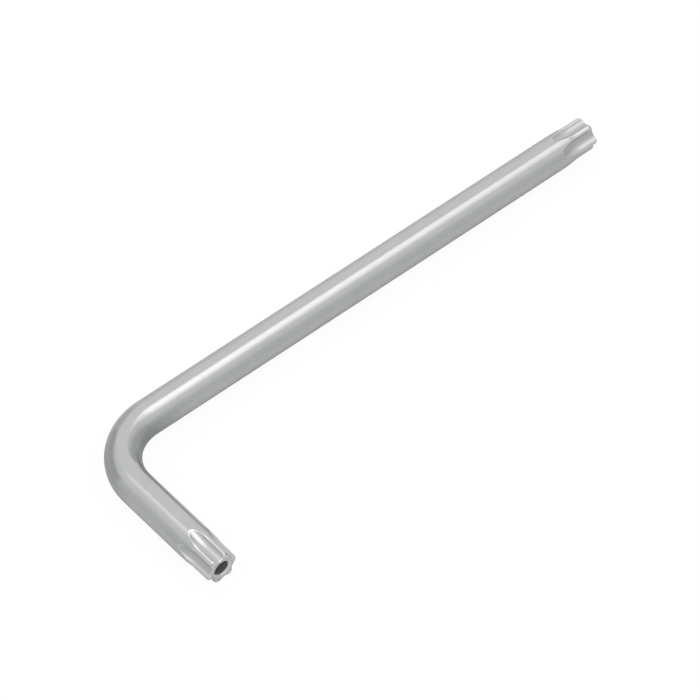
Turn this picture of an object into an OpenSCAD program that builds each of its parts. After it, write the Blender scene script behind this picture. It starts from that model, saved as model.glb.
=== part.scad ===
// Security six-lobe L-key: one length of round wire, bent square, with both ends turned down and
// milled to a six-lobe drive point. A hole in each point lets it on to screws with a centre pin.
// The key lies flat: the long arm along +X, the short arm along -Y, and Z = 0 under both arms.

/* [Wire] */
// Diameter of the round wire
wire_d = 2.85; // [2.4:0.05:4]
// Length of the long arm, from the outside of the short arm to the tip
long_arm_length = 50; // [30:1:120]
// Length of the short arm, from the outside of the long arm to the tip
short_arm_length = 16.3; // [14:0.1:40]
// Radius of the bend, on the middle of the wire
bend_radius = 4.8; // [3:0.1:8]

/* [Drive point] */
// Size across two opposite lobes
across_lobes = 2.76; // [2.5:0.01:3.4]
// Size across two opposite flutes
across_flutes = 2; // [1.8:0.01:2.2]
// Radius of each flute's hollow
flute_radius = 0.6; // [0.5:0.01:0.7]
// Length of the point at its full form, from the tip
full_form_length = 1.5; // [1:0.05:4]
// Radius of the arc on which each flute runs out into the wire
flute_runout_radius = 4.6; // [2:0.1:6]
// Radius of the arc on which the turned end runs out into the wire
turned_runout_radius = 6; // [3:0.1:12]
// Radius of the rounding round the tip's rim
rim_radius = 0.28; // [0.1:0.01:0.35]
// Turn of the short arm's lobes about its axis, up from the outside of the bend
short_point_turn = 53; // [0:1:59]
// Turn of the long arm's lobes about its axis, up from the inside of the bend
long_point_turn = 5; // [0:1:59]

/* [Pin hole] */
// Diameter of the hole for the screw's pin
pin_hole_d = 1.25; // [1:0.05:1.5]
// Depth of the hole's straight wall, from the tip
pin_hole_depth = 3; // [1:0.1:6]
// Width of the countersink at the hole's mouth
pin_hole_countersink = 0.14; // [0.05:0.01:0.14]
// Angle of the cone that the drill leaves at the bottom
drill_angle = 118; // [90:1:140]

/* [Hidden] */
$fn = 96;

steel = [0.74, 0.75, 0.75];
lobes = 6;
// How far a cut reaches past the surface that it opens, so that no two faces lie together
overcut = 0.2;
// How far the lobes' rounding would stand above the turned surface that trims it
crest_trim = 0.035;
// Angle left open between two neighbouring cutters, outside the wire
cutter_gap = 2;

wire_r = wire_d / 2;
point_r = across_lobes / 2;
flute_bottom = across_flutes / 2;
half_pitch = 180 / lobes;

// Distance from the arm's axis to the middle of a flute's arc, and to the middle of a lobe's arc.
// A lobe's radius follows from the other sizes, because its arc is tangent to both flutes.
flute_centre = flute_bottom + flute_radius;
crest = point_r + crest_trim;
lobe_radius = (pow(crest, 2) + pow(flute_centre, 2) - pow(flute_radius, 2)
        - 2 * crest * flute_centre * cos(half_pitch))
    / (2 * (crest + flute_radius - flute_centre * cos(half_pitch)));
lobe_centre = crest - lobe_radius;

// From the crossing of the two arms' axes to each tip
long_axis = long_arm_length - wire_r;
short_axis = short_arm_length - wire_r;
// The middle of the key's plan, seen from that crossing, and the height of the arms' axes
plan_middle = [(long_axis - wire_r) / 2, (wire_r - short_axis) / 2];
axis_height = max(wire_r, point_r);

// Point at a distance from the arm's axis, turned away from the middle line of a flute.
// The first number is sideways and the second is outwards.
function from_flute(distance, turn) = distance * [sin(turn), cos(turn)];

function mirrored(points) = [for (i = [len(points) - 1 : -1 : 0]) [-points[i].x, points[i].y]];

// Half of an arm's section, with the arm's axis at X = 0 and its tip at Y = 0
module arm_section(length) {
    face_r = point_r - rim_radius;
    difference() {
        union() {
            square([point_r, full_form_length]);
            translate([0, full_form_length]) square([wire_r, length - full_form_length]);
        }
        translate([point_r + turned_runout_radius, full_form_length]) circle(r = turned_runout_radius);
        difference() {
            translate([face_r, -overcut]) square([rim_radius + overcut, rim_radius + overcut]);
            translate([face_r, rim_radius]) circle(r = rim_radius);
        }
    }
}

// Outline of the form cutter for one flute, with the arm's axis at the origin and the flute
// straight up. It follows the flute's hollow and the near half of the lobe on each side.
module flute_outline() {
    lobe_middle = from_flute(lobe_centre, half_pitch);
    top = from_flute(max(wire_r, point_r) + overcut, half_pitch - cutter_gap / 2);
    side = [lobe_middle, top];
    difference() {
        union() {
            polygon(concat([[0, flute_centre]], side, mirrored(side)));
            translate([0, flute_centre]) circle(r = flute_radius);
        }
        for (hand = [-1, 1]) translate([hand * lobe_middle.x, lobe_middle.y]) circle(r = lobe_radius);
    }
}

// The space that the form cutter clears for the flute on the +Y side of an arm whose tip is at
// Z = 0 and which runs up +Z: a straight pass, and then a lift on the run-out arc.
module flute_cut() {
    cutter_axis = flute_bottom + flute_runout_radius;
    lift = max(wire_r, point_r) + overcut - flute_bottom;
    lift_angle = acos(1 - lift / flute_runout_radius);
    translate([0, 0, -overcut]) linear_extrude(full_form_length + overcut) flute_outline();
    translate([0, cutter_axis, full_form_length])
        rotate([0, -90, 0])
        rotate([0, 0, -90])
        rotate_extrude(angle = lift_angle)
        translate([cutter_axis, 0])
        rotate(90)
        flute_outline();
}

// Blind drilled hole up the middle of an arm, with its mouth at Z = 0
module pin_hole() {
    hole_r = pin_hole_d / 2;
    mouth_r = hole_r + pin_hole_countersink;
    translate([0, 0, -overcut]) cylinder(h = pin_hole_depth + overcut, r = hole_r);
    translate([0, 0, pin_hole_depth]) cylinder(h = hole_r / tan(drill_angle / 2), r1 = hole_r, r2 = 0);
    cylinder(h = pin_hole_countersink, r1 = mouth_r, r2 = hole_r);
}

// One arm up +Z from its tip at Z = 0, with a lobe turned from +X by the given angle
module arm(length, turn) {
    difference() {
        rotate_extrude() arm_section(length);
        for (i = [0 : lobes - 1]) rotate(turn + (i + 0.5) * 360 / lobes - 90) flute_cut();
        pin_hole();
    }
}

module bend() {
    rotate_extrude(angle = 90) translate([bend_radius, 0]) circle(r = wire_r);
}

// The origin is under the middle of the key's plan, on the surface that the key lies on
module key() {
    color(steel) translate([-plan_middle.x, -plan_middle.y, axis_height]) {
        translate([bend_radius, -bend_radius, 0]) rotate(90) bend();
        translate([long_axis, 0, 0]) rotate([90, 0, -90]) arm(long_axis - bend_radius, long_point_turn);
        translate([0, -short_axis, 0]) rotate([90, 0, 180]) arm(short_axis - bend_radius, short_point_turn);
    }
}

key();
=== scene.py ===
"""A satin-plated security six-lobe key, and the studio that it is shown in.

The key is made as its maker would make it. A straight wire gets a milled drive point on each
end, and is then bent square. Every length is in metres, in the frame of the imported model.
"""

import math

import bmesh
import bpy
from bpy.props import FloatProperty, FloatVectorProperty, IntProperty, PointerProperty
from mathutils import Matrix, Vector


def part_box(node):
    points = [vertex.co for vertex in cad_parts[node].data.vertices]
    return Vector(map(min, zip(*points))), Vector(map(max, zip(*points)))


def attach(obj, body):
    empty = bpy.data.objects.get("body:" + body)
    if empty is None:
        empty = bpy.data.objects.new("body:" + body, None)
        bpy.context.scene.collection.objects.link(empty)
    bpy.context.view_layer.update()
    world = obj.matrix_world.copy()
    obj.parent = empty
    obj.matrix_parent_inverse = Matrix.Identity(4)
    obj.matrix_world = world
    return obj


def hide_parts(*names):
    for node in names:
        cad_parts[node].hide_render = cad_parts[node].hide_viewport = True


bl_info = {
    "name": "Security Six-Lobe Key",
    "version": (1, 0, 0),
    "blender": (4, 5, 0),
    "location": "3D View > Sidebar > Six-Lobe Key",
    "description": "Builds a plated security six-lobe key with its light and camera",
    "category": "Object",
}

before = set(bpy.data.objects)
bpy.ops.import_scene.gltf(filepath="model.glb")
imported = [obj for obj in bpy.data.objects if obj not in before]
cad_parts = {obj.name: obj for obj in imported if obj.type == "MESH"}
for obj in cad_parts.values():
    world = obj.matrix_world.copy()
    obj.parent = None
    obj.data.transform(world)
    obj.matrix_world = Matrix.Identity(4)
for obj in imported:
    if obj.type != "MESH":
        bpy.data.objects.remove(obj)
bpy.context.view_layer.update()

MM = 0.001
NODE = "key"
BODY = "root"
LOBES = 6
HALF_PITCH = math.pi / LOBES

# Names that the mesh hands to the finish: a point's place on the wire before it was bent, how near
# it is to an edge, and whether a milling cutter or a drill made it
STRAIGHT_PLACE = "straight_place"
EDGE = "edge"
MILLED = "milled"
DRILLED = "drilled"

# How far the lobes' arcs would stand above the turned surface that trims them
CREST_TRIM = 0.035 * MM
# The end face: its rings of points, as shares of its width, and the small rounding from it on to
# the outside, with the turns in degrees at which that has points
FACE_SHARES = (0.4, 0.85)
FACE_ROUNDING = 0.07 * MM
FACE_TURNS = (0, 30, 60)
# Plain wire that belongs to the point, behind the run-outs
PLAIN_COLLAR = 0.25 * MM
# Distance from an edge in the hole to the ring of points that keeps it crisp
CRISP_GAP = 0.012 * MM
# Points closer than this become one
MERGE_DISTANCE = 0.0003 * MM

# Columns of faces from the bottom of a flute to its edge, and rings of faces along each stretch
FLUTE_COLUMNS = 22
RIM_RINGS = 14
FULL_FORM_RINGS = 6
RUNOUT_RINGS = 30
LONG_ARM_RINGS = 20
SHORT_ARM_RINGS = 4
# How strongly the columns on each side crowd towards a flute's edge, and the rings towards the end
# of the run-out
FLUTE_CROWDING = 1.35
CREST_CROWDING = 0.35
RUNOUT_CROWDING = 1.8
# Share of the way from a flute's bottom to a crest that lies on the flute's own arc
FLUTE_SHARE = 0.45
# Share of its softness that an edge loses by the end of the run-out, the steepest place on the rim
# that still widens it, and how much crisper the turned surface ends
RUNOUT_CRISPNESS = 0.55
STEEPEST_RIM = 0.95
TURNED_CRISPNESS = 8

# Levels of the patches between which the plating goes dull
DULL_RANGE = (0.45, 0.75)
# Distance from the bend's middle surface, over the wire's radius, from which the painted shade
# round the bend shows
BEND_SHADE_RANGE = (0.72, 1.0)

# Heights between which the studio's parts grow brighter, as sines of the angle above the floor
ROOM_RISE = (0.2, 0.75)
CARD_RISE = (0.0, 0.45)
PANEL_RISE = (0.72, 0.96)
# How fast the overhead panel fades from its middle
PANEL_FALLOFF = 2.2
# Cosines of the angle from the flag's heading between which the flag grows to its full depth
FLAG_RANGE = (0.5, 1.0)
# Softness of the card's edges, over its distance, and of the screen's ends and top, in radians
CARD_EDGE = 0.035
SCREEN_END_EDGE = 0.09
SCREEN_TOP_EDGE = 0.1
# Nearest and furthest that the camera sees, in metres
CAMERA_RANGE = (0.01, 20.0)


# ---------------------------------------------------------------------------------------------
# Settings
# ---------------------------------------------------------------------------------------------


def length_setting(name, description, default, smallest, largest):
    return FloatProperty(
        name=name,
        description=description,
        default=default,
        min=smallest,
        max=largest,
        precision=5,
        unit="LENGTH",
    )


def angle_setting(name, description, degrees, smallest, largest):
    return FloatProperty(
        name=name,
        description=description,
        default=math.radians(degrees),
        min=math.radians(smallest),
        max=math.radians(largest),
        subtype="ANGLE",
    )


def share_setting(name, description, default):
    return FloatProperty(
        name=name, description=description, default=default, min=0.0, max=1.0, subtype="FACTOR"
    )


def ratio_setting(name, description, default):
    return FloatProperty(name=name, description=description, default=default, min=0.0)


def colour_setting(name, description, default):
    return FloatVectorProperty(
        name=name,
        description=description,
        default=default,
        min=0.0,
        max=1.0,
        size=3,
        subtype="COLOR",
    )


class WireSizes(bpy.types.PropertyGroup):
    """The wire and its bend"""

    radius: length_setting("Wire radius", "Radius of the round wire", 1.425 * MM, 0.001, 0.002)
    bend_radius: length_setting(
        "Bend radius", "Radius of the bend on the middle of the wire", 4.8 * MM, 0.003, 0.008
    )
    facets: IntProperty(
        name="Facets round the wire",
        description="Even number of faces round the wire, the same on every half of a flute",
        default=180,
        min=60,
        max=360,
    )
    bend_steps: IntProperty(
        name="Steps in the bend",
        description="Rings of faces along the bend",
        default=72,
        min=12,
        max=120,
    )


class PointSizes(bpy.types.PropertyGroup):
    """The six-lobe form that is milled on each end, and the hole in it"""

    crest_radius: length_setting(
        "Crest radius", "Half of the size across two lobes", 1.38 * MM, 0.001, 0.002
    )
    flute_bottom: length_setting(
        "Flute bottom", "Half of the size across two flutes", 1.0 * MM, 0.0008, 0.0012
    )
    flute_radius: length_setting(
        "Flute radius", "Radius of each flute's hollow", 0.6 * MM, 0.0004, 0.0008
    )
    full_form: length_setting(
        "Full form", "Length of the point at its full form", 1.5 * MM, 0.001, 0.004
    )
    flute_runout: length_setting(
        "Flute run-out", "Radius of the arc on which a flute runs out", 4.6 * MM, 0.002, 0.006
    )
    turned_runout: length_setting(
        "Turned run-out",
        "Radius of the arc on which the turned end runs out",
        6.0 * MM,
        0.003,
        0.012,
    )
    rim_radius: length_setting(
        "Rim radius", "Radius of the rounding round the tip's rim", 0.28 * MM, 0.0001, 0.00035
    )
    edge_softness: length_setting(
        "Edge softness",
        "Reach of the rounding that plating leaves on an edge",
        0.065 * MM,
        0.00001,
        0.00012,
    )
    long_turn: angle_setting(
        "Long arm's turn", "Turn of the lobes on the long arm's point", 5, 0, 59
    )
    short_turn: angle_setting(
        "Short arm's turn", "Turn of the lobes on the short arm's point", 53, 0, 59
    )
    hole_radius: length_setting("Hole radius", "Radius of the pin hole", 0.625 * MM, 0.0004, 0.0008)
    hole_depth: length_setting(
        "Hole depth", "Depth of the hole's straight wall", 3.0 * MM, 0.001, 0.006
    )
    countersink: length_setting(
        "Countersink", "Width of the countersink at the hole's mouth", 0.14 * MM, 0.00005, 0.00014
    )
    drill_angle: angle_setting(
        "Drill angle", "Angle of the cone at the hole's bottom", 118, 90, 140
    )


class PlatingLook(bpy.types.PropertyGroup):
    """The satin plating"""

    colour: colour_setting("Plating", "Colour of the plating", (0.748, 0.748, 0.748))
    dulled: colour_setting(
        "Dulled plating", "Colour of the plating where it is dull", (0.715, 0.72, 0.725)
    )
    # Painted highlight: a lighter colour laid along the edges, standing in for the bright lines
    # that light catches there
    edge_highlight: colour_setting(
        "Painted edge highlight", "Colour of the plating along an edge", (0.96, 0.96, 0.96)
    )
    # Painted shade: a darker colour laid on the outside and inside of the wire round the bend,
    # standing in for the shade and dark reflections there
    bend_shade: colour_setting(
        "Painted bend shade", "Colour of the shade painted round the bend", (0.42, 0.44, 0.45)
    )
    bend_shade_reach: length_setting(
        "Bend shade reach", "How far past the bend the painted shade goes", 3.0 * MM, 0.0005, 0.01
    )
    bend_shade_lead: length_setting(
        "Bend shade lead", "How much further it goes on the long arm's side", 1.0 * MM, 0.0, 0.005
    )
    roughness: share_setting("Roughness", "Roughness of the plating", 0.095)
    milled_roughness: share_setting("Milled roughness", "How much rougher a milled surface is", 0.2)
    drilled_roughness: share_setting(
        "Drilled roughness", "How much rougher a drilled surface is", 0.35
    )
    drilled_bareness: share_setting(
        "Drilled bareness", "How little plating is left in a drilled hole", 0.04
    )
    roughness_change: share_setting("Roughness change", "How far the roughness wanders", 0.045)
    mottle_size: length_setting("Mottle size", "Size of the dull patches", 1.6 * MM, 0.0002, 0.01)
    line_width: length_setting(
        "Line width", "Width of the lines that drawing leaves", 0.09 * MM, 0.00002, 0.001
    )
    line_length: length_setting("Line length", "Length of those lines", 3.5 * MM, 0.0005, 0.02)
    line_depth: length_setting("Line depth", "Depth of those lines", 0.0008 * MM, 0.0, 0.00001)
    grain_size: length_setting(
        "Grain size", "Size of the plating's fine grain", 0.06 * MM, 0.00001, 0.001
    )
    grain_depth: length_setting("Grain depth", "Depth of that grain", 0.0005 * MM, 0.0, 0.00001)


class StudioLook(bpy.types.PropertyGroup):
    """The floor, the light and the camera"""

    floor_size: length_setting("Floor size", "Side of the square floor", 4.0, 0.5, 20.0)
    floor_gap: length_setting(
        "Floor gap", "Distance from the key down to the floor", 0.002 * MM, 0.0, 0.0001
    )
    floor_colour: colour_setting("Floor", "Colour of the floor", (0.62, 0.62, 0.62))
    polish_colour: colour_setting("Floor polish", "Colour of the floor's polish", (0.9, 0.9, 0.9))
    polish_roughness: share_setting("Polish roughness", "Roughness of the floor's polish", 0.12)
    floor_gloss: share_setting("Floor gloss", "How glossy the floor is at a low angle", 0.65)
    glow_level: ratio_setting("Glow level", "Level of the white that whitens the floor", 1.07)
    floor_glow: share_setting("Floor glow", "How white the floor is made for the camera", 0.88)
    mirrored_glow: share_setting(
        "Mirrored glow", "How white it is made in the key's reflections", 0.06
    )
    room_low: share_setting("Room, low", "Level of the room's light near the floor", 0.53)
    room_high: share_setting("Room, high", "Level of the room's light overhead", 0.67)
    room_tint: colour_setting("Room tint", "Tint of the lower part of the room", (0.96, 1.0, 0.99))
    panel_level: ratio_setting("Panel level", "Light that the panel overhead adds", 0.84)
    card_heading: angle_setting("Card heading", "Heading of the wall card, from +X", 54, 0, 90)
    card_half_width: ratio_setting(
        "Card width", "Half of the card's width over its distance", 0.637
    )
    card_height: ratio_setting("Card height", "The card's height over its distance", 2.05)
    card_low: share_setting("Card, low", "Level of the card near the floor", 0.62)
    card_high: share_setting("Card, high", "Level of the card further up", 0.70)
    flag_heading: angle_setting("Flag heading", "Heading of the dark flag, from +X", -5, -90, 90)
    flag_level: share_setting("Flag level", "How much of the room's light the flag leaves", 0.78)
    screen_heading: angle_setting(
        "Screen heading", "Heading of the low screen, from +X", 103, 0, 180
    )
    screen_reach: angle_setting("Screen reach", "Half of the low screen's length", 32, 0, 90)
    screen_top: angle_setting("Screen top", "Height of the low screen's top", 28, 0, 90)
    screen_level: share_setting("Screen level", "How much light the low screen leaves", 0.76)
    camera_place: FloatVectorProperty(
        name="Camera place",
        description="Where the camera stands",
        default=(-0.149082, -0.188281, 0.282055),
        size=3,
        subtype="TRANSLATION",
        unit="LENGTH",
    )
    camera_target: FloatVectorProperty(
        name="Camera target",
        description="The point that the camera looks at",
        default=(-0.003191, 0.001799, 0.001408),
        size=3,
        subtype="TRANSLATION",
        unit="LENGTH",
    )
    camera_roll: angle_setting("Camera roll", "Lean of the camera about its view", -3.008, -10, 10)
    camera_lens: FloatProperty(
        name="Lens", description="Focal length in millimetres", default=251.4, min=50, max=400
    )


# ---------------------------------------------------------------------------------------------
# Nodes
# ---------------------------------------------------------------------------------------------


def add_node(tree, kind, inputs=None, **settings):
    """Adds a node. An input is a socket to link, a list of sockets, or a plain value."""
    node = tree.nodes.new(kind)
    for name, value in settings.items():
        setattr(node, name, value)
    for key, value in (inputs or {}).items():
        for part in value if isinstance(value, list) else [value]:
            if isinstance(part, bpy.types.NodeSocket):
                tree.links.new(part, node.inputs[key])
            else:
                node.inputs[key].default_value = part
    return node


def add_math(tree, operation, *values):
    node = add_node(tree, "ShaderNodeMath", dict(enumerate(values)), operation=operation)
    return node.outputs[0]


def add_eased(tree, value, start, end, low, high):
    """Goes smoothly from low to high while the value goes from start to end"""
    node = add_node(
        tree,
        "ShaderNodeMapRange",
        {0: value, 1: start, 2: end, 3: low, 4: high},
        interpolation_type="SMOOTHSTEP",
    )
    return node.outputs[0]


def add_colour_mix(tree, share, first, second):
    """A colour between two others. Each is a socket or three numbers."""
    inputs = {0: share}
    for key, colour in ((6, first), (7, second)):
        inputs[key] = colour if isinstance(colour, bpy.types.NodeSocket) else (*colour, 1.0)
    return add_node(tree, "ShaderNodeMix", inputs, data_type="RGBA").outputs[2]


def add_shader_mix(tree, share, first, second):
    inputs = {0: share, 1: first.outputs[0], 2: second.outputs[0]}
    return add_node(tree, "ShaderNodeMixShader", inputs)


def add_plain_view(tree, path):
    """1 for what the camera sees, straight or through something clear, and 0 for the rest"""
    rays = (path.outputs["Is Camera Ray"], path.outputs["Is Transmission Ray"])
    return add_math(tree, "MAXIMUM", *rays)


def add_along_wire(tree, value):
    """A vector along the straight wire"""
    return add_node(tree, "ShaderNodeCombineXYZ", {2: value}).outputs[0]


def new_tree(name, kind, inputs, outputs):
    """A node group with its named sockets. Returns the group, its input node and output node."""
    old = bpy.data.node_groups.get(name)
    if old:
        bpy.data.node_groups.remove(old)
    tree = bpy.data.node_groups.new(name, kind)
    for socket, in_out in [(s, "INPUT") for s in inputs] + [(s, "OUTPUT") for s in outputs]:
        tree.interface.new_socket(name=socket[0], in_out=in_out, socket_type=socket[1])
    return tree, tree.nodes.new("NodeGroupInput"), tree.nodes.new("NodeGroupOutput")


# ---------------------------------------------------------------------------------------------
# Drive point: half of one flute
# ---------------------------------------------------------------------------------------------


def soft_smaller(a, b, softness):
    """The smaller of two lengths, eased where they are nearly equal, and how near that is."""
    nearness = max(softness - abs(a - b), 0.0) / softness
    return min(a, b) - nearness * nearness * softness / 4, nearness


def bisect(function, low, high, steps=48):
    """Where a rising function passes zero between two numbers, or the end nearest to it"""
    for _ in range(steps):
        middle = (low + high) / 2
        if function(middle) > 0:
            high = middle
        else:
            low = middle
    return (low + high) / 2


class FluteForm:
    """The surfaces that the turning and the milling leave, as heights and angles.

    Angles are measured from the middle line of a flute, about the wire's middle line.
    """

    def __init__(self, wire, point):
        self.wire = wire
        self.point = point
        self.flute_centre = point.flute_bottom + point.flute_radius
        # Each lobe's arc is tangent to the flutes beside it
        crest = point.crest_radius + CREST_TRIM
        across = crest * self.flute_centre * math.cos(HALF_PITCH)
        lean = crest + point.flute_radius - self.flute_centre * math.cos(HALF_PITCH)
        squares = crest**2 + self.flute_centre**2 - point.flute_radius**2
        self.lobe_radius = (squares - 2 * across) / (2 * lean)
        self.lobe_centre = crest - self.lobe_radius
        lobe_x = self.lobe_centre * math.sin(HALF_PITCH)
        lobe_y = self.lobe_centre * math.cos(HALF_PITCH)
        self.lobe_middle = (lobe_x, lobe_y)
        self.tangent_angle = math.atan2(lobe_x, self.flute_centre - lobe_y)
        # Where the bottom of a flute comes out through the wire
        cutter_axis = point.flute_bottom + point.flute_runout
        rise = cutter_axis - wire.radius
        self.vanish = point.full_form + math.sqrt(point.flute_runout**2 - rise**2)
        reach = rise - point.edge_softness
        self.settled = point.full_form + math.sqrt(point.flute_runout**2 - reach**2)

    def outline(self, share, z):
        """Sideways and outward place on the flute's surface, at a share of the way to the crest"""
        if share < FLUTE_SHARE:
            angle = self.tangent_angle * share / FLUTE_SHARE
            x = self.point.flute_radius * math.sin(angle)
            y = self.flute_centre - self.point.flute_radius * math.cos(angle)
        else:
            turned = (share - FLUTE_SHARE) / (1 - FLUTE_SHARE)
            angle = self.tangent_angle - turned * (self.tangent_angle + HALF_PITCH)
            x = self.lobe_middle[0] - self.lobe_radius * math.sin(angle)
            y = self.lobe_middle[1] + self.lobe_radius * math.cos(angle)
        lifted = z - self.point.full_form
        if lifted > 0:
            cutter_axis = self.point.flute_bottom + self.point.flute_runout
            y = cutter_axis - math.sqrt((cutter_axis - y) ** 2 - lifted**2)
        return x, y

    def flute(self, share, z):
        """Angle and distance from the wire's middle line, on the flute's surface"""
        x, y = self.outline(share, z)
        return math.atan2(x, y), math.hypot(x, y)

    def turned(self, z):
        """Radius of the turned surface"""
        point = self.point
        lifted = min(max(z - point.full_form, 0.0), point.turned_runout)
        arc = point.turned_runout - math.sqrt(point.turned_runout**2 - lifted**2)
        softness = point.edge_softness / TURNED_CRISPNESS
        radius, _ = soft_smaller(point.crest_radius + arc, self.wire.radius, softness)
        below = max(point.rim_radius - z, 0.0)
        return radius - point.rim_radius + math.sqrt(point.rim_radius**2 - below**2)

    def section(self, z, crest_columns):
        """Angle, distance and nearness to an edge for each column, from a flute to a crest"""
        limit = self.turned(z)
        crossing = bisect(lambda share: self.flute(share, z)[1] - limit, 0.0, 1.0)
        if z >= self.vanish:
            crossing = 0.0
        # An edge gets softer round the steep rim, and sharper where a flute dies out
        below = min(max(1 - z / self.point.rim_radius, 0.0), STEEPEST_RIM)
        steepness = 1 / math.sqrt(1 - below**2)
        crispness = RUNOUT_CRISPNESS * min(z / self.vanish, 1.0) ** 2
        softness = self.point.edge_softness * steepness * (1 - crispness)
        columns = []
        for i in range(FLUTE_COLUMNS):
            part = 1 - (1 - i / FLUTE_COLUMNS) ** FLUTE_CROWDING
            angle, distance = self.flute(crossing * part, z)
            columns.append((angle, *soft_smaller(distance, limit, softness)))
        start = self.flute(crossing, z)[0] if crossing > 0 else 0.0
        spread = 1.0 + CREST_CROWDING * max(0.0, 1 - z / self.vanish)
        for i in range(crest_columns + 1):
            angle = start + (HALF_PITCH - start) * (i / crest_columns) ** spread
            share = bisect(lambda s: self.flute(s, z)[0] - angle, 0.0, 1.0)
            distance = self.flute(share, z)[1] if i else max(self.flute(crossing, z)[1], limit)
            columns.append((angle, *soft_smaller(distance, limit, softness)))
        return columns


def half_flute_mesh(wire, point, crest_columns, length):
    """Half of one flute, from the bottom of the hole, over the tip and up to the plain wire"""
    form = FluteForm(wire, point)
    mouth = point.hole_radius + point.countersink
    face = form.section(0.0, crest_columns)

    # Rings in the hole, as radius and height, from its bottom to its mouth
    depth, radius, gap = point.hole_depth, point.hole_radius, CRISP_GAP
    cone = radius / math.tan(point.drill_angle / 2)
    hole = [
        (radius * 0.5, depth + cone * 0.5),
        (radius - gap, depth + cone * gap / radius),
        (radius, depth),
        (radius, depth - gap),
        (radius, depth * 0.5),
        (radius, point.countersink + 2 * gap),
        (radius, point.countersink + gap / 2),
        (radius + gap / 2, point.countersink - gap / 2),
        (mouth - gap / 2, gap / 2),
        (mouth + gap / 2, 0.0),
        (mouth + 2 * gap, 0.0),
    ]

    mesh = bmesh.new()
    edge_layer = mesh.verts.layers.float.new(EDGE)
    milled_layer = mesh.verts.layers.float.new(MILLED)
    drilled_layer = mesh.verts.layers.float.new(DRILLED)

    def add_vertex(angle, distance, z, edge, milled=0.0, drilled=0.0):
        vertex = mesh.verts.new((distance * math.cos(angle), distance * math.sin(angle), z))
        vertex[edge_layer] = edge
        vertex[milled_layer] = milled
        vertex[drilled_layer] = drilled
        return vertex

    rings = []
    for r, z in hole:
        at_mouth = 1.0 if r > radius else 0.0
        rings.append([add_vertex(a, r, z, at_mouth, drilled=1.0 - at_mouth) for a, _, _ in face])

    # The end face, and the rounding from it on to the outside
    inner = mouth + 2 * gap
    for share in FACE_SHARES:
        widths = [(a, r - FACE_ROUNDING - inner) for a, r, _ in face]
        rings.append([add_vertex(a, inner + width * share, 0.0, 0.0) for a, width in widths])
    for turn in FACE_TURNS:
        inset = FACE_ROUNDING * (1 - math.sin(math.radians(turn)))
        z = FACE_ROUNDING * (1 - math.cos(math.radians(turn)))
        section = form.section(z, crest_columns)
        rings.append([add_vertex(a, r - inset, z, 1.0 if turn else 0.5) for a, r, _ in section])

    # The outside, up to where the flute comes out
    quarter = math.pi / 2 / RIM_RINGS
    rounding = [point.rim_radius * (1 - math.cos(quarter * i)) for i in range(RIM_RINGS + 1)]
    heights = [FACE_ROUNDING] + [z for z in rounding if z > 1.1 * FACE_ROUNDING]
    start = heights[-1]
    step = (point.full_form - start) / FULL_FORM_RINGS
    heights += [start + step * i for i in range(1, FULL_FORM_RINGS + 1)]
    run = form.vanish - point.full_form
    for i in range(1, RUNOUT_RINGS):
        heights.append(form.vanish - run * (1 - i / RUNOUT_RINGS) ** RUNOUT_CROWDING)
    for z in heights:
        near_rim = 1.0 if z <= FACE_ROUNDING else 0.0
        rings.append(
            [
                add_vertex(a, r, z, max(e, near_rim), 1.0 if i < FLUTE_COLUMNS else 0.0)
                for i, (a, r, e) in enumerate(form.section(z, crest_columns))
            ]
        )

    # Past there the flute's own columns are one point, and only the crest's columns go on
    for z in (form.vanish, (form.vanish + form.settled) / 2, form.settled, length):
        section = form.section(z, crest_columns)[FLUTE_COLUMNS:]
        ring = [add_vertex(a, r, z, e) for a, r, e in section]
        rings.append([ring[0]] * FLUTE_COLUMNS + ring)

    apex = add_vertex(0.0, 0.0, depth + cone, 0.0, drilled=1.0)
    rings.insert(0, [apex] * len(rings[0]))

    for lower, upper in zip(rings, rings[1:]):
        for i in range(len(lower) - 1):
            corners = []
            for vertex in (lower[i], lower[i + 1], upper[i + 1], upper[i]):
                if vertex not in corners:
                    corners.append(vertex)
            if len(corners) > 2:
                mesh.faces.new(corners)

    data = bpy.data.meshes.new("half_flute")
    mesh.to_mesh(data)
    mesh.free()
    return data


# ---------------------------------------------------------------------------------------------
# Key: both points and the wire, bent
# ---------------------------------------------------------------------------------------------


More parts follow.
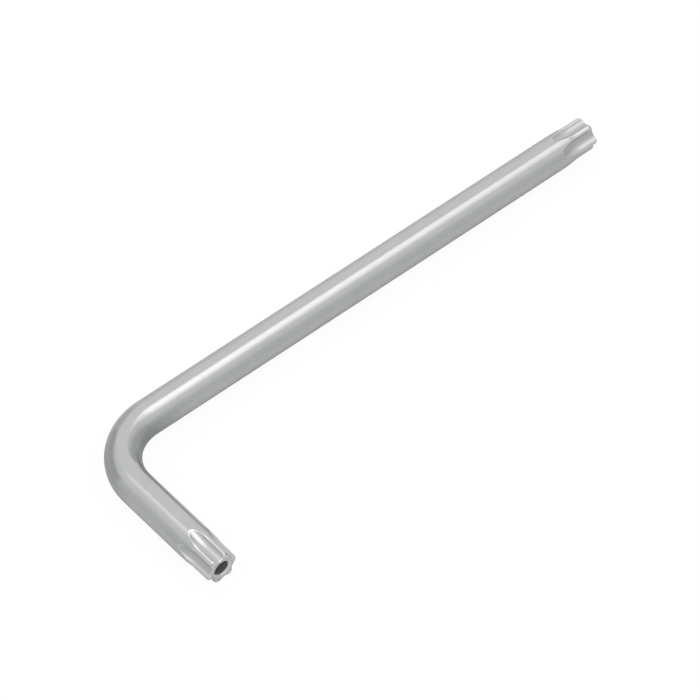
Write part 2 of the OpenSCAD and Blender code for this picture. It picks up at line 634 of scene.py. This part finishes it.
def blank_and_bend_tree():
    """Geometry nodes that repeat the flute, put a point on both ends of a wire, and bend it"""
    tree, inputs, outputs = new_tree(
        "Six-lobe key from a bent wire",
        "GeometryNodeTree",
        [
            ("Half Flute", "NodeSocketGeometry"),
            ("Wire Radius", "NodeSocketFloat"),
            ("Facets", "NodeSocketInt"),
            ("Bend Steps", "NodeSocketInt"),
            ("Bend Radius", "NodeSocketFloat"),
            ("Point Length", "NodeSocketFloat"),
            ("Bend Start", "NodeSocketFloat"),
            ("Wire Length", "NodeSocketFloat"),
            ("Long Turn", "NodeSocketFloat"),
            ("Short Turn", "NodeSocketFloat"),
            ("Bend Centre", "NodeSocketVector"),
            ("Merge Distance", "NodeSocketFloat"),
            ("Plating", "NodeSocketMaterial"),
        ],
        [("Key", "NodeSocketGeometry")],
    )
    given = inputs.outputs

    # One flute from its two halves, then six flutes round the wire
    half = given["Half Flute"]
    mirrored = add_node(tree, "GeometryNodeTransform", {0: half, "Scale": (1, -1, 1)})
    flipped = add_node(tree, "GeometryNodeFlipFaces", {0: mirrored.outputs[0]})
    flute = add_node(tree, "GeometryNodeJoinGeometry", {0: [half, flipped.outputs[0]]})
    places = add_node(tree, "GeometryNodePoints", {0: LOBES})
    index = add_node(tree, "GeometryNodeInputIndex").outputs[0]
    turn = add_math(tree, "MULTIPLY_ADD", index, 2 * HALF_PITCH, HALF_PITCH)
    rotation = add_node(tree, "FunctionNodeAxisAngleToRotation", {"Axis": (0, 0, 1), "Angle": turn})
    flutes = add_node(
        tree,
        "GeometryNodeInstanceOnPoints",
        {
            "Points": places.outputs[0],
            "Instance": flute.outputs[0],
            "Rotation": rotation.outputs[0],
        },
    )
    point = add_node(tree, "GeometryNodeRealizeInstances", {0: flutes.outputs[0]}).outputs[0]

    # The long arm's point stands at the start of the straight wire, and the short arm's at its end
    long_spin = add_along_wire(tree, given["Long Turn"])
    long_point = add_node(tree, "GeometryNodeTransform", {0: point, "Rotation": long_spin})
    short_spin = add_along_wire(tree, given["Short Turn"])
    short_point = add_node(tree, "GeometryNodeTransform", {0: point, "Rotation": short_spin})
    wire_end = add_along_wire(tree, given["Wire Length"])
    short_point = add_node(
        tree,
        "GeometryNodeTransform",
        {0: short_point.outputs[0], "Translation": wire_end, "Rotation": (0, math.pi, 0)},
    )

    # Plain wire in three lengths, so that only the bend has many rings
    bend_length = add_math(tree, "MULTIPLY", given["Bend Radius"], math.pi / 2)
    bend_end = add_math(tree, "ADD", given["Bend Start"], bend_length)
    plain_end = add_math(tree, "SUBTRACT", given["Wire Length"], given["Point Length"])
    facet_turn = add_math(tree, "DIVIDE", math.pi, given["Facets"])
    facet_spin = add_along_wire(tree, facet_turn)
    lengths = []
    for start, end, steps in (
        (given["Point Length"], given["Bend Start"], LONG_ARM_RINGS),
        (given["Bend Start"], bend_end, given["Bend Steps"]),
        (bend_end, plain_end, SHORT_ARM_RINGS),
    ):
        run = add_math(tree, "SUBTRACT", end, start)
        tube = add_node(
            tree,
            "GeometryNodeMeshCylinder",
            {
                "Vertices": given["Facets"],
                "Side Segments": steps,
                "Radius": given["Wire Radius"],
                "Depth": run,
            },
            fill_type="NONE",
        )
        middle = add_math(tree, "MULTIPLY_ADD", run, 0.5, start)
        moved = add_node(
            tree,
            "GeometryNodeTransform",
            {
                0: tube.outputs[0],
                "Translation": add_along_wire(tree, middle),
                "Rotation": facet_spin,
            },
        )
        lengths.append(moved.outputs[0])

    stretches = [long_point.outputs[0], short_point.outputs[0], *lengths]
    joined = add_node(tree, "GeometryNodeJoinGeometry", {0: stretches})
    whole = add_node(
        tree,
        "GeometryNodeMergeByDistance",
        {0: joined.outputs[0], "Distance": given["Merge Distance"]},
    )
    place = add_node(tree, "GeometryNodeInputPosition").outputs[0]
    kept = add_node(
        tree,
        "GeometryNodeStoreNamedAttribute",
        {0: whole.outputs[0], "Name": STRAIGHT_PLACE, "Value": place},
        data_type="FLOAT_VECTOR",
        domain="POINT",
    )

    # The bend: a point turns about the bend's centre by how far along the bend it lies, and what
    # is past the bend goes on straight
    parts = add_node(tree, "ShaderNodeSeparateXYZ", {0: place}).outputs
    past_start = add_math(tree, "SUBTRACT", parts[2], given["Bend Start"])
    in_bend = add_math(tree, "MINIMUM", add_math(tree, "MAXIMUM", past_start, 0.0), bend_length)
    angle = add_math(tree, "DIVIDE", in_bend, given["Bend Radius"])
    beyond = add_math(tree, "SUBTRACT", in_bend, past_start)
    outward = add_math(tree, "SUBTRACT", given["Bend Radius"], parts[0])
    arm = add_node(tree, "ShaderNodeCombineXYZ", {0: beyond, 1: outward, 2: parts[1]}).outputs[0]
    turned = add_node(
        tree, "ShaderNodeVectorRotate", {"Vector": arm, "Angle": angle}, rotation_type="Z_AXIS"
    )
    final = add_node(
        tree,
        "ShaderNodeVectorMath",
        {0: turned.outputs[0], 1: given["Bend Centre"]},
        operation="ADD",
    )
    bent = add_node(
        tree, "GeometryNodeSetPosition", {0: kept.outputs[0], "Position": final.outputs[0]}
    )
    smooth = add_node(
        tree, "GeometryNodeSetShadeSmooth", {0: bent.outputs[0], "Shade Smooth": True}
    )
    real = add_node(tree, "GeometryNodeRealizeInstances", {0: smooth.outputs[0]})
    plated = add_node(
        tree, "GeometryNodeSetMaterial", {0: real.outputs[0], "Material": given["Plating"]}
    )
    tree.links.new(plated.outputs[0], outputs.inputs["Key"])
    return tree


def bake(name, source, tree, values):
    """Runs a geometry node tree on a mesh and returns the result as a plain object"""
    maker = bpy.data.objects.new(f"{name}_maker", source)
    bpy.context.scene.collection.objects.link(maker)
    modifier = maker.modifiers.new(tree.name, "NODES")
    modifier.node_group = tree
    for socket in tree.interface.items_tree:
        if socket.in_out == "INPUT" and socket.name in values:
            modifier[socket.identifier] = values[socket.name]
    graph = bpy.context.evaluated_depsgraph_get()
    made = bpy.data.meshes.new_from_object(maker.evaluated_get(graph), depsgraph=graph)
    bpy.data.objects.remove(maker)
    made.name = name

    # The mirrored halves get the same way out as the rest
    shell = bmesh.new()
    shell.from_mesh(made)
    bmesh.ops.recalc_face_normals(shell, faces=shell.faces)
    loose = sum(1 for edge in shell.edges if not edge.is_manifold)
    shell.to_mesh(made)
    shell.free()
    if loose:
        raise RuntimeError(f"{name} isn't closed: {loose} of its edges are open")
    piece = bpy.data.objects.new(name, made)
    bpy.context.scene.collection.objects.link(piece)
    return piece


class OBJECT_OT_build_key(bpy.types.Operator):
    """Build the bent wire with its two drive points, and plate it"""

    bl_idname = "object.build_six_lobe_key"
    bl_label = "Build Key"

    def execute(self, context):
        scene = context.scene
        wire, point = scene.key_wire, scene.key_point
        low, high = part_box(NODE)
        radius, bend_radius = wire.radius, wire.bend_radius
        inset = radius + bend_radius
        bend_centre = Vector((low.x + inset, high.y - inset, low.z + radius))
        bend_start = high.x - bend_centre.x
        bend_length = bend_radius * math.pi / 2
        short_run = bend_centre.y - low.y
        point_length = FluteForm(wire, point).settled + PLAIN_COLLAR
        crest_columns = wire.facets // (2 * LOBES)
        piece = bake(
            "plated_key",
            half_flute_mesh(wire, point, crest_columns, point_length),
            blank_and_bend_tree(),
            {
                "Wire Radius": radius,
                "Facets": wire.facets,
                "Bend Steps": wire.bend_steps,
                "Bend Radius": bend_radius,
                "Point Length": point_length,
                "Bend Start": bend_start,
                "Wire Length": bend_start + bend_length + short_run,
                "Long Turn": point.long_turn,
                "Short Turn": point.short_turn,
                "Bend Centre": bend_centre,
                "Merge Distance": MERGE_DISTANCE,
                "Plating": satin_plating(scene.key_plating, radius, bend_start, bend_length),
            },
        )
        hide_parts(NODE)
        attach(piece, BODY)
        return {"FINISHED"}


# ---------------------------------------------------------------------------------------------
# Plating
# ---------------------------------------------------------------------------------------------


def surface_marks_group():
    """Masks for a drawn and plated wire: dull patches, drawn lines and fine grain"""
    tree, inputs, outputs = new_tree(
        "Drawn and plated surface",
        "ShaderNodeTree",
        [
            ("Place", "NodeSocketVector"),
            ("Patch Size", "NodeSocketFloat"),
            ("Line Width", "NodeSocketFloat"),
            ("Line Length", "NodeSocketFloat"),
            ("Grain Size", "NodeSocketFloat"),
        ],
        [(name, "NodeSocketFloat") for name in ("Patches", "Lines", "Grain")],
    )
    given = inputs.outputs

    def noise(vector, detail):
        inputs = {"Vector": vector, "Scale": 1.0, "Detail": detail}
        return add_node(tree, "ShaderNodeTexNoise", inputs).outputs[0]

    def sized(size):
        per_metre = add_math(tree, "DIVIDE", 1.0, size)
        return add_node(
            tree, "ShaderNodeVectorMath", {0: given["Place"], "Scale": per_metre}, operation="SCALE"
        ).outputs[0]

    across = add_math(tree, "DIVIDE", 1.0, given["Line Width"])
    along = add_math(tree, "DIVIDE", 1.0, given["Line Length"])
    stretch = add_node(tree, "ShaderNodeCombineXYZ", {0: across, 1: across, 2: along}).outputs[0]
    drawn = add_node(
        tree, "ShaderNodeVectorMath", {0: given["Place"], 1: stretch}, operation="MULTIPLY"
    )
    tree.links.new(noise(sized(given["Patch Size"]), 3.0), outputs.inputs["Patches"])
    tree.links.new(noise(drawn.outputs[0], 2.0), outputs.inputs["Lines"])
    tree.links.new(noise(sized(given["Grain Size"]), 2.0), outputs.inputs["Grain"])
    return tree


def satin_plating(look, wire_radius, bend_start, bend_length):
    """Satin nickel plate over drawn wire, with a painted highlight along its edges and painted
    shade round the bend
    """
    material = bpy.data.materials.new("satin_plating")
    material.use_nodes = True
    tree = material.node_tree
    shader = tree.nodes["Principled BSDF"]

    place = add_node(tree, "ShaderNodeAttribute", attribute_name=STRAIGHT_PLACE)
    edge = add_node(tree, "ShaderNodeAttribute", attribute_name=EDGE)
    milled = add_node(tree, "ShaderNodeAttribute", attribute_name=MILLED)
    drilled = add_node(tree, "ShaderNodeAttribute", attribute_name=DRILLED)
    marks = add_node(tree, "ShaderNodeGroup", node_tree=surface_marks_group())
    tree.links.new(place.outputs["Vector"], marks.inputs["Place"])
    marks.inputs["Patch Size"].default_value = look.mottle_size
    marks.inputs["Line Width"].default_value = look.line_width
    marks.inputs["Line Length"].default_value = look.line_length
    marks.inputs["Grain Size"].default_value = look.grain_size

    # Dull patches darken and roughen the plate away from the edges, and along the edges the colour
    # is lightened as a painted highlight
    start, end = DULL_RANGE
    patch = add_node(
        tree, "ShaderNodeMapRange", {0: marks.outputs["Patches"], 1: start, 2: end, 3: 0.0, 4: 1.0}
    )
    off_edge = add_math(tree, "SUBTRACT", 1.0, edge.outputs["Fac"])
    dull = add_math(tree, "MULTIPLY", patch.outputs[0], off_edge)
    colour = add_colour_mix(tree, dull, look.colour, look.dulled)
    colour = add_colour_mix(tree, edge.outputs["Fac"], colour, look.edge_highlight)

    # Painted shade: the outside and inside of the wire round the bend are darkened, reaching a
    # little further on the long arm's side, standing in for the shade and dark reflections there
    parts = add_node(tree, "ShaderNodeSeparateXYZ", {0: place.outputs["Vector"]}).outputs
    off_middle = add_math(tree, "DIVIDE", add_math(tree, "ABSOLUTE", parts[0]), wire_radius)
    bend_middle = bend_start + bend_length / 2 - look.bend_shade_lead
    along = add_math(tree, "ABSOLUTE", add_math(tree, "SUBTRACT", parts[2], bend_middle))
    reach = bend_length / 2 + look.bend_shade_reach
    outermost = add_eased(tree, off_middle, *BEND_SHADE_RANGE, 0.0, 1.0)
    in_bend = add_eased(tree, along, reach - 2 * look.bend_shade_reach, reach, 1.0, 0.0)
    painted_bend_shade = add_math(tree, "MULTIPLY", outermost, in_bend)
    colour = add_colour_mix(tree, painted_bend_shade, colour, look.bend_shade)
    tree.links.new(colour, shader.inputs["Base Color"])

    wander = add_math(tree, "ADD", dull, add_math(tree, "SUBTRACT", marks.outputs["Lines"], 0.5))
    rough = add_math(
        tree, "MULTIPLY_ADD", milled.outputs["Fac"], look.milled_roughness, look.roughness
    )
    rough = add_math(tree, "MULTIPLY_ADD", drilled.outputs["Fac"], look.drilled_roughness, rough)
    rough = add_math(tree, "MULTIPLY_ADD", wander, look.roughness_change, rough)
    tree.links.new(rough, shader.inputs["Roughness"])
    plated = add_math(tree, "MULTIPLY_ADD", drilled.outputs["Fac"], -look.drilled_bareness, 1.0)
    tree.links.new(plated, shader.inputs["Metallic"])

    lines = add_math(tree, "MULTIPLY", marks.outputs["Lines"], look.line_depth)
    relief = add_math(tree, "MULTIPLY_ADD", marks.outputs["Grain"], look.grain_depth, lines)
    bump = add_node(tree, "ShaderNodeBump", {"Strength": 1.0, "Distance": 1.0, "Height": relief})
    tree.links.new(bump.outputs[0], shader.inputs["Normal"])
    return material


# ---------------------------------------------------------------------------------------------
# Studio
# ---------------------------------------------------------------------------------------------


def studio_world(look):
    """A pale studio: light that grows towards a panel overhead, a wall card behind the key, a dark
    flag to its right, and a low dark screen to its left"""
    world = bpy.data.worlds.new("studio")
    world.use_nodes = True
    tree = world.node_tree
    tree.nodes.clear()
    direction = add_node(tree, "ShaderNodeTexCoord").outputs["Generated"]
    height = add_node(tree, "ShaderNodeSeparateXYZ", {0: direction}).outputs[2]

    def toward(heading):
        axis = (math.cos(heading), math.sin(heading), 0.0)
        inputs = {0: direction, 1: axis}
        node = add_node(tree, "ShaderNodeVectorMath", inputs, operation="DOT_PRODUCT")
        return node.outputs["Value"]

    # The room, and in it the overhead panel and the dark flag
    start, end = PANEL_RISE
    panel = add_node(tree, "ShaderNodeMapRange", {0: height, 1: start, 2: end}).outputs[0]
    panel = add_math(tree, "POWER", panel, PANEL_FALLOFF)
    room = add_eased(tree, height, *ROOM_RISE, look.room_low, look.room_high)
    room = add_math(tree, "MULTIPLY_ADD", panel, look.panel_level, room)
    flag = add_eased(tree, toward(look.flag_heading), *FLAG_RANGE, 1.0, look.flag_level)
    room = add_math(tree, "MULTIPLY", room, flag)
    cool = add_eased(tree, height, *ROOM_RISE, 1.0, 0.0)
    room_tint = add_colour_mix(tree, cool, (1, 1, 1), look.room_tint)

    # The card is a rectangle that stands on the floor, upright and square to its heading
    ahead = add_math(tree, "MAXIMUM", toward(look.card_heading), 0.001)
    sideways = add_math(tree, "DIVIDE", toward(look.card_heading - math.pi / 2), ahead)
    sideways = add_math(tree, "ABSOLUTE", sideways)
    upwards = add_math(tree, "DIVIDE", height, ahead)
    card = add_math(
        tree,
        "MULTIPLY",
        *(
            add_eased(tree, place, size - CARD_EDGE, size + CARD_EDGE, 1.0, 0.0)
            for place, size in ((sideways, look.card_half_width), (upwards, look.card_height))
        ),
    )
    card_level = add_eased(tree, height, *CARD_RISE, look.card_low, look.card_high)
    level = add_node(tree, "ShaderNodeMix", {0: card, 2: room, 3: card_level}, data_type="FLOAT")

    # The low screen is a length of a round wall, with a soft top and soft ends
    squared = add_math(tree, "MULTIPLY_ADD", height, add_math(tree, "MULTIPLY", height, -1.0), 1.0)
    across = add_math(tree, "SQRT", squared)
    ahead = add_math(tree, "DIVIDE", toward(look.screen_heading), across)
    ends = (math.cos(look.screen_reach + edge) for edge in (SCREEN_END_EDGE, -SCREEN_END_EDGE))
    top = (math.sin(look.screen_top + edge) for edge in (-SCREEN_TOP_EDGE, SCREEN_TOP_EDGE))
    between_ends = add_eased(tree, ahead, *ends, 0.0, 1.0)
    under_top = add_eased(tree, height, *top, 1.0, 0.0)
    screen = add_math(tree, "MULTIPLY", between_ends, under_top)
    shaded = add_math(tree, "MULTIPLY_ADD", screen, look.screen_level - 1.0, 1.0)
    level = add_math(tree, "MULTIPLY", level.outputs[0], shaded)

    tint = add_colour_mix(tree, card, room_tint, (1, 1, 1))
    lit = add_node(tree, "ShaderNodeBackground", {"Color": tint, "Strength": level})
    white = add_node(tree, "ShaderNodeBackground", {"Color": (1, 1, 1, 1), "Strength": 1.0})
    plain = add_plain_view(tree, add_node(tree, "ShaderNodeLightPath"))
    mixed = add_shader_mix(tree, plain, lit, white)
    output = add_node(tree, "ShaderNodeOutputWorld")
    tree.links.new(mixed.outputs[0], output.inputs["Surface"])
    return world


def floor_finish(look):
    """A pale floor that the camera sees as white, apart from the key's shadow"""
    material = bpy.data.materials.new("pale_floor")
    material.use_nodes = True
    tree = material.node_tree
    tree.nodes.clear()
    paint = add_node(tree, "ShaderNodeBsdfDiffuse", {"Color": (*look.floor_colour, 1.0)})
    polish = add_node(
        tree,
        "ShaderNodeBsdfGlossy",
        {"Color": (*look.polish_colour, 1.0), "Roughness": look.polish_roughness},
    )
    glow = add_node(
        tree, "ShaderNodeEmission", {"Color": (1, 1, 1, 1), "Strength": look.glow_level}
    )

    # Only the key's reflections show the polish, so that the floor round the key stays plain
    path = add_node(tree, "ShaderNodeLightPath")
    mirrored = path.outputs["Is Glossy Ray"]
    facing = add_node(tree, "ShaderNodeLayerWeight", {"Blend": 0.5}).outputs["Facing"]
    gloss = add_math(tree, "MULTIPLY", mirrored, look.floor_gloss)
    gloss = add_math(tree, "MULTIPLY", gloss, facing)
    board = add_shader_mix(tree, gloss, paint, polish)
    seen = add_math(tree, "MULTIPLY", add_plain_view(tree, path), look.floor_glow)
    share = add_math(tree, "MULTIPLY_ADD", mirrored, look.mirrored_glow, seen)
    mixed = add_shader_mix(tree, share, board, glow)
    output = add_node(tree, "ShaderNodeOutputMaterial")
    tree.links.new(mixed.outputs[0], output.inputs["Surface"])
    return material


class SCENE_OT_set_key_studio(bpy.types.Operator):
    """Lay the pale floor, light it, and set the camera"""

    bl_idname = "scene.set_six_lobe_key_studio"
    bl_label = "Set Studio"

    def execute(self, context):
        scene = context.scene
        look = scene.key_studio
        scene.world = studio_world(look)
        scene.view_settings.view_transform = "Standard"

        half = look.floor_size / 2
        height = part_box(NODE)[0].z - look.floor_gap
        signs = ((-1, -1), (1, -1), (1, 1), (-1, 1))
        corners = [(half * x, half * y, height) for x, y in signs]
        data = bpy.data.meshes.new("floor")
        data.from_pydata(corners, [], [(0, 1, 2, 3)])
        data.materials.append(floor_finish(look))
        floor = bpy.data.objects.new("floor", data)
        scene.collection.objects.link(floor)

        camera = bpy.data.cameras.new("camera")
        camera.lens = look.camera_lens
        camera.clip_start, camera.clip_end = CAMERA_RANGE
        viewer = bpy.data.objects.new("camera", camera)
        scene.collection.objects.link(viewer)
        place, target = Vector(look.camera_place), Vector(look.camera_target)
        ahead = (target - place).normalized()
        level = ahead.cross(Vector((0, 0, 1))).normalized()
        right = Matrix.Rotation(-look.camera_roll, 3, ahead) @ level
        up = right.cross(ahead)
        turn = Matrix((right, up, -ahead)).transposed().to_4x4()
        viewer.matrix_world = Matrix.Translation(place) @ turn
        scene.camera = viewer
        return {"FINISHED"}


# ---------------------------------------------------------------------------------------------
# Panel and registration
# ---------------------------------------------------------------------------------------------


class VIEW3D_PT_six_lobe_key(bpy.types.Panel):
    """The key's settings and its two steps"""

    bl_label = "Security Six-Lobe Key"
    bl_idname = "VIEW3D_PT_six_lobe_key"
    bl_space_type = "VIEW_3D"
    bl_region_type = "UI"
    bl_category = "Six-Lobe Key"

    def draw(self, context):
        layout = self.layout
        scene = context.scene
        for settings, operator in (
            ((scene.key_wire, scene.key_point, scene.key_plating), OBJECT_OT_build_key.bl_idname),
            ((scene.key_studio,), SCENE_OT_set_key_studio.bl_idname),
        ):
            for group in settings:
                box = layout.box()
                for name in group.bl_rna.properties.keys():
                    if name not in {"rna_type", "name"}:
                        box.prop(group, name)
            layout.operator(operator)


SETTINGS = {
    "key_wire": WireSizes,
    "key_point": PointSizes,
    "key_plating": PlatingLook,
    "key_studio": StudioLook,
}
CLASSES = [*SETTINGS.values(), OBJECT_OT_build_key, SCENE_OT_set_key_studio, VIEW3D_PT_six_lobe_key]


def register():
    for cls in CLASSES:
        bpy.utils.register_class(cls)
    for name, group in SETTINGS.items():
        setattr(bpy.types.Scene, name, PointerProperty(type=group))


def unregister():
    for name in SETTINGS:
        delattr(bpy.types.Scene, name)
    for cls in reversed(CLASSES):
        bpy.utils.unregister_class(cls)


def main():
    register()
    bpy.ops.object.build_six_lobe_key()
    bpy.ops.scene.set_six_lobe_key_studio()


if __name__ == "__main__":
    main()
